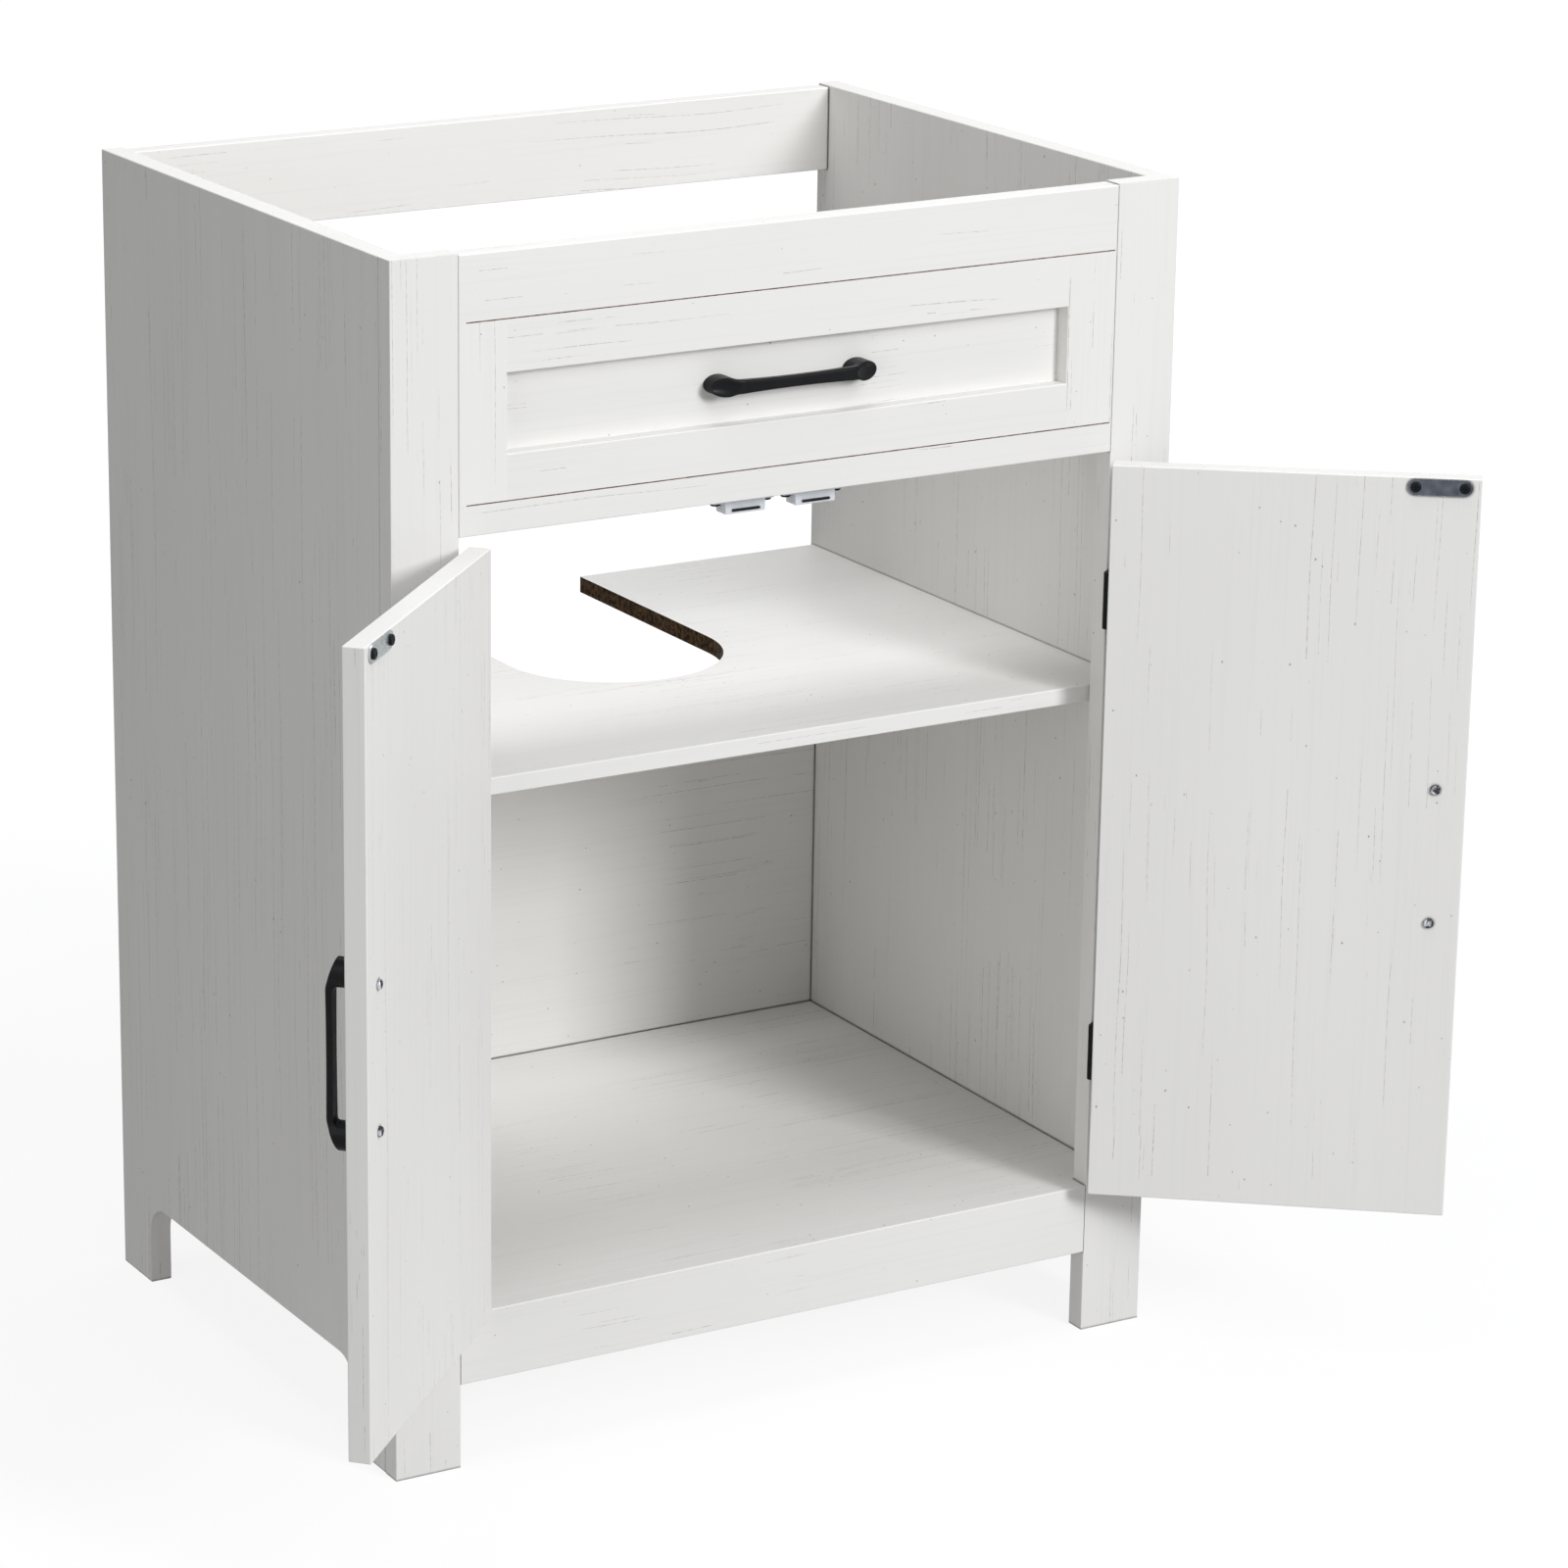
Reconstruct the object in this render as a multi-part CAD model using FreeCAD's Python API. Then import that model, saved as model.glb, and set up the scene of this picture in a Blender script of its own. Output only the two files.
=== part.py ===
import FreeCAD, Part
import math
import os

os.makedirs("parts", exist_ok=True)

# A floor-standing vanity cabinet, open at the top for a basin and half open at the back for pipes.
# Sizes are in millimetres. +Z is up and the doors face -Y.
# The origin is on the floor, at the centre of the carcass.
# Each door is drawn closed on the left, mirrored for the right, then swung open about its hinge pins.

# Carcass overall
cab_width = 600.0
cab_depth = 442.0
cab_height = 832.0

# Board thicknesses
side_t = 16.0
face_t = 16.0
floor_t = 16.0
stretcher_t = 16.0
shelf_t = 12.0
low_back_t = 12.0
top_rail_t = 15.0
inset_t = 4.5
door_t = 15.0
edge_r = 0.8

# Feet and the arch cut between them in each side panel
front_foot = 44.0
back_foot = 47.0
arch_h = 63.0
arch_r = 25.0

# Face frame
stile_w = 49.0
rail_z = 60.0
rail_h = 50.5
panel_h = 184.0
panel_drop = 1.0

# Window and grooves of the fixed front panel, measured up from its lower edge
window_w = 428.7
window_h = 53.0
window_up = 51.5
window_shift = -1.6
inset_lap = 8.0
inset_clear = 0.3
groove_w = 0.9
groove_d = 0.7
low_groove_up = 20.5
high_groove_up = 139.8
groove_left_stop = 5.4
groove_right_stop = 1.5

# Inside boards
stretcher_d = 70.0
shelf_top = 477.0
shelf_front_gap = 2.0
shelf_back_gap = 3.0
cut_r = 81.0
cut_front = 168.5
low_back_h = 240.0
top_rail_h = 61.5
top_rail_drop = 1.5

# Doors
hinge_gap = 2.1
centre_gap = 2.6
door_low_gap = 2.8
door_top_gap = 4.0
door_frame_w = 50.0
door_recess_d = 5.0
door_recess_r = 6.0
left_open_angle = 135.7
right_open_angle = 142.3

# Surface hinges with three knuckles, their leaves on the front faces of the stiles and doors
hinge_h = 40.0
hinge_end = 100.0
pivot_out = 4.0
knuckle_r = 3.2
mid_knuckle = 15.0
knuckle_gap = 0.3
pin_r = 1.5
pin_clear = 0.05
leaf_t = 1.6
leaf_w = 17.0
leaf_corner_r = 2.5
hinge_screw_in = 9.5
hinge_screw_pitch = 25.0

# Pulls
pull_l = 126.8
pull_pitch = 96.0
pull_out = 18.5
pull_tip_out = 11.5
pull_slope_l = 19.4
pull_foot_l = 20.0
pull_bar_t = 4.8
pull_end_h = 13.2
pull_neck_h = 9.4
pull_mid_h = 7.6
pull_inner_r = 3.0
pull_front_r = 1.4
pull_bend_r = 20.0
scoop_l = 22.0
scoop_w = 8.6
scoop_d = 1.6
door_pull_up = 263.0
door_pull_in = 20.5

# Strike plates on the doors' inner faces
strike_l = 43.5
strike_w = 11.5
strike_t = 1.2
strike_pitch = 32.7
strike_free = 6.0
strike_down = 6.4

# Magnetic catches under the stretcher
catch_w = 31.0
catch_h = 13.8
catch_d = 12.0
catch_clear = 0.4
catch_shift = 2.0
pole_w = 20.5
pole_h = 1.4
pole_d = 10.0
pole_down = 11.0
pole_fit = 0.05
ear_w = 8.0
ear_t = 6.4
ear_d = 9.0
ear_setback = 2.0

# Countersunk hinge screws
csk_head_r = 2.9
csk_head_h = 1.4
csk_shank_r = 1.5
csk_len = 13.0

# Pan-head screws of the strike plates and catches
pan_head_r = 3.65
pan_head_h = 2.0
pan_shank_r = 1.5
pan_round = 1.2
strike_screw_len = 11.0
catch_screw_len = 13.0

# Machine screws of the pulls
pull_head_r = 3.4
pull_head_h = 2.2
pull_shank_r = 2.0
pull_thread = 8.0

# Cross recess in every screw head
cross_l = 3.8
cross_w = 0.9
cross_d = 0.9

# Holes are larger than their screws and dowels by this much all round
screw_clear = 0.05

# Dowels between boards
dowel_r = 4.0
thin_dowel_r = 3.0
dowel_l = 30.0
face_bite = 11.0
edge_bite = 15.0
dowel_end_clear = 0.5
stile_dowel_step = 270.0
panel_dowel_in = 32.0
rail_dowel_pitch = 24.0
floor_dowel_pitch = 240.0
shelf_dowel_pitch = 300.0
low_back_dowel_in = 60.0
top_rail_dowel_up = 16.0
stretcher_dowel_in = 18.0

# Cam locks and their bolts
cam_r = 7.5
cam_h = 12.0
cam_clear = 0.1
cam_reach = 24.0
cam_bolt_r = 2.6
cam_head_r = 3.4
cam_head_l = 3.0
cam_thread_r = 3.0
cam_channel_r = 3.6
floor_cam_pitch = 340.0
top_rail_cam_up = 44.0
stretcher_cam_in = 50.0

# Places that follow from the sizes above
V = FreeCAD.Vector
LEFT = V(-1, 0, 0)
RIGHT = V(1, 0, 0)
FRONT = V(0, -1, 0)
BACK = V(0, 1, 0)
UP = V(0, 0, 1)
DOWN = V(0, 0, -1)
panel_top_z = cab_height - panel_drop
panel_z = panel_top_z - panel_h
outer_x = cab_width / 2
inner_x = outer_x - side_t
open_x = outer_x - stile_w
front_y = -cab_depth / 2
back_y = cab_depth / 2
face_back_y = front_y + face_t
floor_z = rail_z + rail_h
low_back_top_z = floor_z + low_back_h
door_low_z = floor_z + door_low_gap
door_top_z = panel_z - door_top_gap
door_hinge_x = -open_x + hinge_gap
door_free_x = -centre_gap / 2
door_back_y = front_y + door_t
pivot_x = -open_x + hinge_gap / 2
pivot_y = front_y - pivot_out
inset_front_y = face_back_y - inset_t
window_z0 = panel_z + window_up
strike_x = door_free_x - strike_free - strike_l / 2
strike_z = door_top_z - strike_down
strike_back_y = door_back_y + strike_t
catch_x = strike_x + catch_shift
catch_front_y = strike_back_y + pan_head_h + catch_clear
pull_flat_l = pull_l - 2 * pull_slope_l
past = 5.0


def block(x0, x1, y0, y1, z0, z1):
    return Part.makeBox(x1 - x0, y1 - y0, z1 - z0, V(x0, y0, z0))


def rod(radius, start, along, length):
    return Part.makeCylinder(radius, length, start, along)


def turned(shape, start, along):
    # A shape drawn along +Z from the origin is laid along another direction.
    moved = shape.copy()
    moved.Placement = FreeCAD.Placement(start, FreeCAD.Rotation(UP, along))
    return moved


def mirrored(shape):
    return shape.mirror(V(0, 0, 0), RIGHT)


def rounded(shape, radius, chosen):
    return shape.makeFillet(radius, [e for e in shape.Edges if chosen(e.CenterOfMass)])


def near(a, b):
    return abs(a - b) < 0.01


def both(shapes):
    return shapes + [mirrored(s) for s in shapes]


def save(name, shape):
    shape.exportStep("parts/" + name + ".step")


def save_group(name, shapes):
    save(name, Part.makeCompound(shapes))


# Screws are drawn along +Z with the seat of the head at the origin.
def cross_recess(top_z):
    half_l = cross_l / 2
    half_w = cross_w / 2
    arm = block(-half_l, half_l, -half_w, half_w, top_z - cross_d, top_z + cross_d)
    other = block(-half_w, half_w, -half_l, half_l, top_z - cross_d, top_z + cross_d)
    return arm.fuse(other)


def csk_shape(grow):
    head = Part.makeCone(csk_head_r + grow, csk_shank_r + grow, csk_head_h)
    shank = rod(csk_shank_r + grow, V(0, 0, 0), UP, csk_len + grow)
    return head.fuse(shank).removeSplitter()


def csk_screw():
    return csk_shape(0).cut(cross_recess(0))


def pan_screw(head_r, head_h, shank_r, length):
    head = rod(head_r, V(0, 0, -head_h), UP, head_h)
    head = rounded(head, pan_round, lambda c: near(c.z, -head_h))
    shank = rod(shank_r, V(0, 0, 0), UP, length)
    return head.fuse(shank).removeSplitter().cut(cross_recess(-head_h))


def shank_hole(shank_r, length):
    return rod(shank_r + screw_clear, V(0, 0, 0), UP, length + screw_clear)


# Joinery of the left half: dowels, cam locks and bolts, and every hole they need.
dowels = []
thin_dowels = []
cam_locks = []
cam_bolts = []
board_holes = []


def add_dowel(group, radius, seam, along, bite):
    # The dowel enters the first board by its bite and runs on along the second.
    start = seam - along * bite
    group.append(rod(radius, start, along, dowel_l))
    hole_start = start - along * dowel_end_clear
    board_holes.append(rod(radius + screw_clear, hole_start, along, dowel_l + 2 * dowel_end_clear))


def add_cam(seam, face, into):
    # The bolt is fixed in the side panel at the seam and its head is held in the cam.
    centre = seam + RIGHT * cam_reach
    thread = rod(cam_thread_r, seam - RIGHT * face_bite, RIGHT, face_bite)
    stem = rod(cam_bolt_r, seam, RIGHT, cam_reach - cam_head_l)
    head = rod(cam_head_r, centre - RIGHT * cam_head_l, RIGHT, cam_head_l)
    cam_bolts.append(thread.fuse([stem, head]).removeSplitter())
    disc = rod(cam_r - cam_clear, face, into, cam_h)
    way = rod(cam_channel_r, seam, RIGHT, cam_reach + cam_clear)
    disc = disc.cut(way)
    cam_locks.append(disc.cut(turned(cross_recess(0), face, into)))
    board_holes.append(rod(cam_r, face, into, cam_h + cam_clear))
    board_holes.append(rod(cam_channel_r, seam, RIGHT, cam_reach))
    board_holes.append(rod(cam_thread_r + screw_clear, seam - RIGHT * face_bite, RIGHT, face_bite))


# Stile on the front edge of the side panel
stile_mid_z = cab_height / 2
for step in (-1, 0, 1):
    seam = V(-outer_x + side_t / 2, face_back_y, stile_mid_z + step * stile_dowel_step)
    add_dowel(dowels, dowel_r, seam, BACK, face_bite)

# Front panel and bottom rail between the stiles
frame_mid_y = front_y + face_t / 2
for z in (panel_z + panel_dowel_in, panel_top_z - panel_dowel_in):
    add_dowel(dowels, dowel_r, V(-open_x, frame_mid_y, z), RIGHT, edge_bite)
for step in (-0.5, 0.5):
    z = rail_z + rail_h / 2 + step * rail_dowel_pitch
    add_dowel(dowels, dowel_r, V(-open_x, frame_mid_y, z), RIGHT, edge_bite)

# Floor panel between the sides, its cams in the hidden underside
floor_mid_z = floor_z - floor_t / 2
floor_under_z = floor_z - floor_t
for step in (-0.5, 0.5):
    add_dowel(dowels, dowel_r, V(-inner_x, step * floor_dowel_pitch, floor_mid_z), RIGHT, face_bite)
    y = step * floor_cam_pitch
    under = V(-inner_x + cam_reach, y, floor_under_z)
    add_cam(V(-inner_x, y, floor_mid_z), under, UP)

# Shelf and lower back panel between the sides, on thinner dowels
shelf_under_z = shelf_top - shelf_t
for step in (-0.5, 0.5):
    seam = V(-inner_x, step * shelf_dowel_pitch, shelf_top - shelf_t / 2)
    add_dowel(thin_dowels, thin_dowel_r, seam, RIGHT, face_bite)
for z in (floor_z + low_back_dowel_in, low_back_top_z - low_back_dowel_in):
    add_dowel(thin_dowels, thin_dowel_r, V(-inner_x, back_y - low_back_t / 2, z), RIGHT, face_bite)

# Top back rail between the sides, its cams in the back face
top_rail_top = cab_height - top_rail_drop
top_rail_low = top_rail_top - top_rail_h
top_rail_mid_y = back_y - top_rail_t / 2
add_dowel(dowels, dowel_r, V(-inner_x, top_rail_mid_y, top_rail_low + top_rail_dowel_up), RIGHT, face_bite)
cam_z = top_rail_low + top_rail_cam_up
add_cam(V(-inner_x, top_rail_mid_y, cam_z), V(-inner_x + cam_reach, back_y, cam_z), FRONT)

# Stretcher behind the front panel, its cams in the upper face
stretcher_mid_z = panel_z + stretcher_t / 2
stretcher_top_z = panel_z + stretcher_t
dowel_y = face_back_y + stretcher_dowel_in
add_dowel(dowels, dowel_r, V(-inner_x, dowel_y, stretcher_mid_z), RIGHT, face_bite)
cam_y = face_back_y + stretcher_cam_in
over = V(-inner_x + cam_reach, cam_y, stretcher_top_z)
add_cam(V(-inner_x, cam_y, stretcher_mid_z), over, DOWN)


# Left hinge at one height: a frame leaf with the end knuckles, a door leaf with the middle one.
knuckle_room = knuckle_r + knuckle_gap


def knuckle(radius, z0, z1):
    return rod(radius, V(pivot_x, pivot_y, z0), UP, z1 - z0)


def leaf_block(x0, x1, z0, z1):
    return block(x0, x1, front_y - leaf_t, front_y, z0, z1)


def hinge_screw_spots(x, mid_z):
    half = hinge_screw_pitch / 2
    return [V(x, front_y - leaf_t, z) for z in (mid_z - half, mid_z + half)]


def round_corners(plate, x):
    return rounded(plate, leaf_corner_r, lambda c: near(c.x, x) and near(c.y, front_y - leaf_t / 2))


def bored(leaf, mid_z, spots):
    bore = knuckle(pin_r + pin_clear, mid_z - hinge_h, mid_z + hinge_h)
    holes = [turned(csk_shape(screw_clear), s, BACK) for s in spots]
    return leaf.cut([bore] + holes).removeSplitter()


def frame_leaf(mid_z):
    low = mid_z - hinge_h / 2
    high = mid_z + hinge_h / 2
    mid_low = mid_z - mid_knuckle / 2 - knuckle_gap
    mid_high = mid_z + mid_knuckle / 2 + knuckle_gap
    plate = round_corners(leaf_block(pivot_x - leaf_w, pivot_x, low, high), pivot_x - leaf_w)
    plate = plate.cut(leaf_block(pivot_x - knuckle_room, pivot_x, mid_low, mid_high))
    leaf = plate.fuse([knuckle(knuckle_r, low, mid_low), knuckle(knuckle_r, mid_high, high)])
    return bored(leaf, mid_z, hinge_screw_spots(pivot_x - hinge_screw_in, mid_z))


def door_leaf(mid_z):
    low = mid_z - hinge_h / 2
    high = mid_z + hinge_h / 2
    mid_low = mid_z - mid_knuckle / 2
    mid_high = mid_z + mid_knuckle / 2
    plate = round_corners(leaf_block(pivot_x, pivot_x + leaf_w, low, high), pivot_x + leaf_w)
    plate = plate.cut([leaf_block(pivot_x, pivot_x + knuckle_room, low, mid_low),
                       leaf_block(pivot_x, pivot_x + knuckle_room, mid_high, high)])
    leaf = plate.fuse(knuckle(knuckle_r, mid_low, mid_high))
    return bored(leaf, mid_z, hinge_screw_spots(pivot_x + hinge_screw_in, mid_z))


hinge_heights = {"upper": door_top_z - hinge_end, "lower": door_low_z + hinge_end}
frame_screws = []
door_screws = []
hinge_pins = []
door_holes = []
for mid_z in hinge_heights.values():
    hinge_pins.append(knuckle(pin_r, mid_z - hinge_h / 2, mid_z + hinge_h / 2))
    for spot in hinge_screw_spots(pivot_x - hinge_screw_in, mid_z):
        frame_screws.append(turned(csk_screw(), spot, BACK))
        board_holes.append(turned(csk_shape(screw_clear), spot, BACK))
    for spot in hinge_screw_spots(pivot_x + hinge_screw_in, mid_z):
        door_screws.append(turned(csk_screw(), spot, BACK))
        door_holes.append(turned(csk_shape(screw_clear), spot, BACK))


# Bar pull drawn along X on the plane y = 0, standing out towards -Y.
# Its oval feet carry a narrow waisted bar that slopes down at each end, with an oval scoop in each slope.
def pull_scoop():
    half_l = scoop_l / 2
    reach = ((scoop_w / 2) ** 2 / scoop_d + scoop_d) / 2
    lift = reach - scoop_d
    sweep_r = (half_l ** 2 + scoop_d ** 2) / (2 * scoop_d)
    tip = math.sqrt(sweep_r ** 2 - (sweep_r - reach) ** 2)
    curve = Part.Arc(V(-tip, 0, 0), V(0, reach, 0), V(tip, 0, 0)).toShape()
    axis = Part.makeLine(V(tip, 0, 0), V(-tip, 0, 0))
    spindle = Part.Face(Part.Wire([curve, axis])).revolve(V(0, 0, 0), RIGHT, 360)
    spindle = Part.Solid(Part.Shell(spindle.Faces))
    tilt = math.degrees(math.atan2(pull_out - pull_tip_out, pull_slope_l))
    spindle.rotate(V(0, 0, 0), UP, tilt)
    normal = V(math.sin(math.radians(tilt)), -math.cos(math.radians(tilt)), 0)
    middle = V((pull_l + pull_flat_l) / 4, -(pull_out + pull_tip_out) / 2, 0)
    spindle.translate(middle + normal * lift)
    return spindle


def pull_oval(sign, start_degrees, turn_degrees):
    # Part of the oval at one end, as seen from the front and drawn flat.
    oval = Part.Ellipse(V(sign * (pull_l - pull_foot_l) / 2, 0, 0), pull_foot_l / 2, pull_end_h / 2)
    start = math.radians(start_degrees)
    return Part.ArcOfEllipse(oval, start, start + math.radians(turn_degrees)).toShape()


def pull_prism(edges):
    face = Part.Face(Part.Wire(edges))
    face.rotate(V(0, 0, 0), RIGHT, 90)
    return face.extrude(V(0, -pull_out, 0))


def bezier(points):
    curve = Part.BezierCurve()
    curve.setPoles(points)
    return curve.toShape()


def pull_outline():
    # Oval ends, from which the bar's long edges ease in to the neck and on to a slim middle.
    end_x = (pull_l - pull_foot_l) / 2
    end_h = pull_end_h / 2
    neck_x = pull_flat_l / 2
    neck_h = pull_neck_h / 2
    ease = (end_x - neck_x) / 2
    dip = pull_neck_h - pull_mid_h
    eased = V(neck_x + ease, neck_h + ease * dip / neck_x, 0)
    shoulder = [V(end_x, end_h, 0), V(end_x - ease, end_h, 0), eased, V(neck_x, neck_h, 0)]
    waist = [V(neck_x, neck_h, 0), V(0, neck_h - dip, 0), V(-neck_x, neck_h, 0)]
    far = [V(-p.x, p.y, 0) for p in reversed(shoulder)]
    long_edge = [shoulder, waist, far]
    edges = [pull_oval(1, -90, 180)] + [bezier(points) for points in long_edge]
    edges += [pull_oval(-1, 90, 180)] + [bezier([p * -1 for p in points]) for points in long_edge]
    return pull_prism(edges)


def pull_bar():
    half = pull_l / 2
    flat = pull_flat_l / 2
    half_h = pull_end_h / 2
    corners = [V(-half, 0, -half_h), V(-half, -pull_tip_out, -half_h), V(-flat, -pull_out, -half_h)]
    corners += [V(flat, -pull_out, -half_h), V(half, -pull_tip_out, -half_h), V(half, 0, -half_h)]
    side = Part.Face(Part.makePolygon(corners + corners[:1])).extrude(UP * pull_end_h)
    side = rounded(side, pull_bend_r, lambda c: near(c.y, -pull_out) and near(abs(c.x), flat))
    bar = side.common(pull_outline())
    bar = rounded(bar, pull_front_r, lambda c: c.y < -pull_tip_out and abs(c.z) > pull_mid_h / 4)
    void_y = pull_bar_t - pull_out
    void = block(-half + pull_foot_l / 2, half - pull_foot_l / 2, void_y, past, -half_h, half_h)
    void = void.cut([pull_prism([pull_oval(sign, 0, 360)]) for sign in (-1, 1)])
    void = rounded(void, pull_inner_r, lambda c: near(c.y, void_y) and abs(c.x) > flat - pull_foot_l)
    scoop = pull_scoop()
    bar = bar.cut([void, scoop, mirrored(scoop)])
    for x in (-pull_pitch / 2, pull_pitch / 2):
        bar = bar.cut(turned(shank_hole(pull_shank_r, pull_thread), V(x, 0, 0), FRONT))
    return bar.removeSplitter()


def pull_screws(board_t):
    screw = pan_screw(pull_head_r, pull_head_h, pull_shank_r, board_t + pull_thread)
    return [turned(screw, V(x, board_t, 0), FRONT) for x in (-pull_pitch / 2, pull_pitch / 2)]


def pull_holes(board_t):
    hole = shank_hole(pull_shank_r, board_t + pull_thread)
    return [turned(hole, V(x, board_t, 0), FRONT) for x in (-pull_pitch / 2, pull_pitch / 2)]


def on_drawer(shape):
    moved = shape.copy()
    moved.translate(V(window_shift, inset_front_y, window_z0 + window_h / 2))
    return moved


def on_door(shape):
    moved = shape.copy()
    moved.rotate(V(0, 0, 0), BACK, 90)
    moved.translate(V(door_free_x - door_pull_in, front_y, door_low_z + door_pull_up))
    return moved


# Strike plate: a flat steel strip with round ends, held by two pan-head screws.
def strike_plate():
    half = (strike_l - strike_w) / 2
    strip = block(strike_x - half, strike_x + half, door_back_y, strike_back_y,
                  strike_z - strike_w / 2, strike_z + strike_w / 2)
    ends = [rod(strike_w / 2, V(strike_x + s * half, door_back_y, strike_z), BACK, strike_t) for s in (-1, 1)]
    return strip.fuse(ends).removeSplitter()


strike_spots = [V(strike_x + s * strike_pitch / 2, strike_back_y, strike_z) for s in (-1, 1)]
strike_screw = pan_screw(pan_head_r, pan_head_h, pan_shank_r, strike_screw_len)
strike_screws = [turned(strike_screw, s, FRONT) for s in strike_spots]
strike_holes = [turned(shank_hole(pan_shank_r, strike_screw_len), s, FRONT) for s in strike_spots]
door_holes += strike_holes
door_holes += [on_door(h) for h in pull_holes(door_t)]


# Left catch: a plastic body with an ear each side and a magnet's pole plate in its front.
def pole_plate(grow):
    z = panel_z - pole_down
    front = strike_back_y + catch_clear
    half_w = pole_w / 2 + grow
    half_h = pole_h / 2 + grow
    return block(catch_x - half_w, catch_x + half_w, front, front + pole_d + grow, z - half_h, z + half_h)


def catch_ear_spots():
    y = catch_front_y + ear_setback + ear_d / 2
    reach = (catch_w + ear_w) / 2
    return [V(catch_x + s * reach, y, panel_z - ear_t) for s in (-1, 1)]


def catch_body():
    half = catch_w / 2
    body = block(catch_x - half, catch_x + half, catch_front_y, catch_front_y + catch_d,
                 panel_z - catch_h, panel_z)
    body = rounded(body, edge_r, lambda c: near(c.y, catch_front_y) or near(c.z, panel_z - catch_h))
    ear_y = catch_front_y + ear_setback
    reach = half + ear_w
    ears = block(catch_x - reach, catch_x + reach, ear_y, ear_y + ear_d, panel_z - ear_t, panel_z)
    ears = rounded(ears, edge_r, lambda c: near(c.z, panel_z - ear_t / 2))
    return body.fuse(ears).removeSplitter().cut(catch_screw_holes + [pole_plate(pole_fit)])


catch_screw = pan_screw(pan_head_r, pan_head_h, pan_shank_r, catch_screw_len)
catch_screws = [turned(catch_screw, s, UP) for s in catch_ear_spots()]
catch_screw_holes = [turned(shank_hole(pan_shank_r, catch_screw_len), s, UP) for s in catch_ear_spots()]
board_holes += catch_screw_holes
all_holes = both(board_holes)


# Side panels, with the arch between the front and back foot
side_panel = block(-outer_x, -inner_x, face_back_y, back_y, 0, cab_height)
side_panel = rounded(side_panel, edge_r, lambda c: True)
arch = block(-outer_x - past, -inner_x + past, face_back_y + front_foot, back_y - back_foot, -arch_h, arch_h)
arch = rounded(arch, arch_r, lambda c: near(c.z, arch_h) and near(c.x, -outer_x + side_t / 2))
side_panel = side_panel.cut([arch] + board_holes)
save("left_side_panel", side_panel)
save("right_side_panel", mirrored(side_panel))

# Stiles, standing on the floor in front of the side panels
stile = block(-outer_x, -open_x, front_y, face_back_y, 0, cab_height)
stile = rounded(stile, edge_r, lambda c: near(c.z, stile_mid_z))
stile = stile.cut(board_holes)
save("left_stile", stile)
save("right_stile", mirrored(stile))

# Bottom rail between the stiles
rail = block(-open_x, open_x, front_y, face_back_y, rail_z, floor_z)
rail = rounded(rail, edge_r, lambda c: near(c.y, front_y))
save("bottom_rail", rail.cut(all_holes))

# Fixed front panel: a board with a window, two grooves and a rebate behind for the inset
panel = block(-open_x, open_x, front_y, face_back_y, panel_z, panel_top_z)
window_x0 = window_shift - window_w / 2
window_x1 = window_shift + window_w / 2
window_z1 = window_z0 + window_h
window = block(window_x0, window_x1, front_y - past, face_back_y + past, window_z0, window_z1)
panel = rounded(panel.cut(window), edge_r, lambda c: near(c.y, front_y))
rebate = block(window_x0 - inset_lap, window_x1 + inset_lap, inset_front_y, face_back_y + past,
               window_z0 - inset_lap, window_z1 + inset_lap)
grooves = []
for up in (low_groove_up, high_groove_up):
    z = panel_z + up
    grooves.append(block(-open_x + groove_left_stop, open_x - groove_right_stop, front_y - past,
                         front_y + groove_d, z - groove_w / 2, z + groove_w / 2))
save("front_panel", panel.cut([rebate] + grooves + all_holes))

# Thin inset board that closes the window from behind and carries the pull
lap = inset_lap - inset_clear
inset = block(window_x0 - lap, window_x1 + lap, inset_front_y, face_back_y, window_z0 - lap, window_z1 + lap)
save("front_inset", inset.cut([on_drawer(h) for h in pull_holes(inset_t)]))

# Stretcher behind the front panel, which carries the catches
stretcher = block(-inner_x, inner_x, face_back_y, face_back_y + stretcher_d, panel_z, stretcher_top_z)
save("front_stretcher", stretcher.cut(all_holes))

# Floor panel, level with the top of the bottom rail
floor = block(-inner_x, inner_x, face_back_y, back_y, floor_under_z, floor_z)
floor = rounded(floor, edge_r, lambda c: near(c.z, floor_z) and near(abs(c.x), inner_x))
save("floor_panel", floor.cut(all_holes))

# Shelf with a round-nosed cut-out, open at the back, for the waste pipe
shelf_front_y = face_back_y + shelf_front_gap
shelf = block(-inner_x, inner_x, shelf_front_y, back_y - shelf_back_gap, shelf_under_z, shelf_top)
shelf = rounded(shelf, edge_r, lambda c: near(c.y, shelf_front_y) and near(c.x, 0))
cut_y = front_y + cut_front + cut_r
nose = rod(cut_r, V(0, cut_y, shelf_under_z - past), UP, shelf_t + 2 * past)
slot = block(-cut_r, cut_r, cut_y, back_y + past, shelf_under_z - past, shelf_top + past)
save("shelf", shelf.cut([nose.fuse(slot).removeSplitter()] + all_holes))

# Lower back panel, which stands on the floor panel and stops short of the shelf for pipes
low_back = block(-inner_x, inner_x, back_y - low_back_t, back_y, floor_z, low_back_top_z)
low_back = rounded(low_back, edge_r, lambda c: near(c.y, back_y - low_back_t))
save("lower_back_panel", low_back.cut(all_holes))

# Top back rail, for fixing to the wall
top_rail = block(-inner_x, inner_x, back_y - top_rail_t, back_y, top_rail_low, top_rail_top)
top_rail = rounded(top_rail, edge_r, lambda c: near(c.y, back_y - top_rail_t))
save("top_back_rail", top_rail.cut(all_holes))

# Joinery hardware
save_group("board_dowels", both(dowels))
save_group("thin_dowels", both(thin_dowels))
save_group("cam_locks", both(cam_locks))
save_group("cam_bolts", both(cam_bolts))

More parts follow.
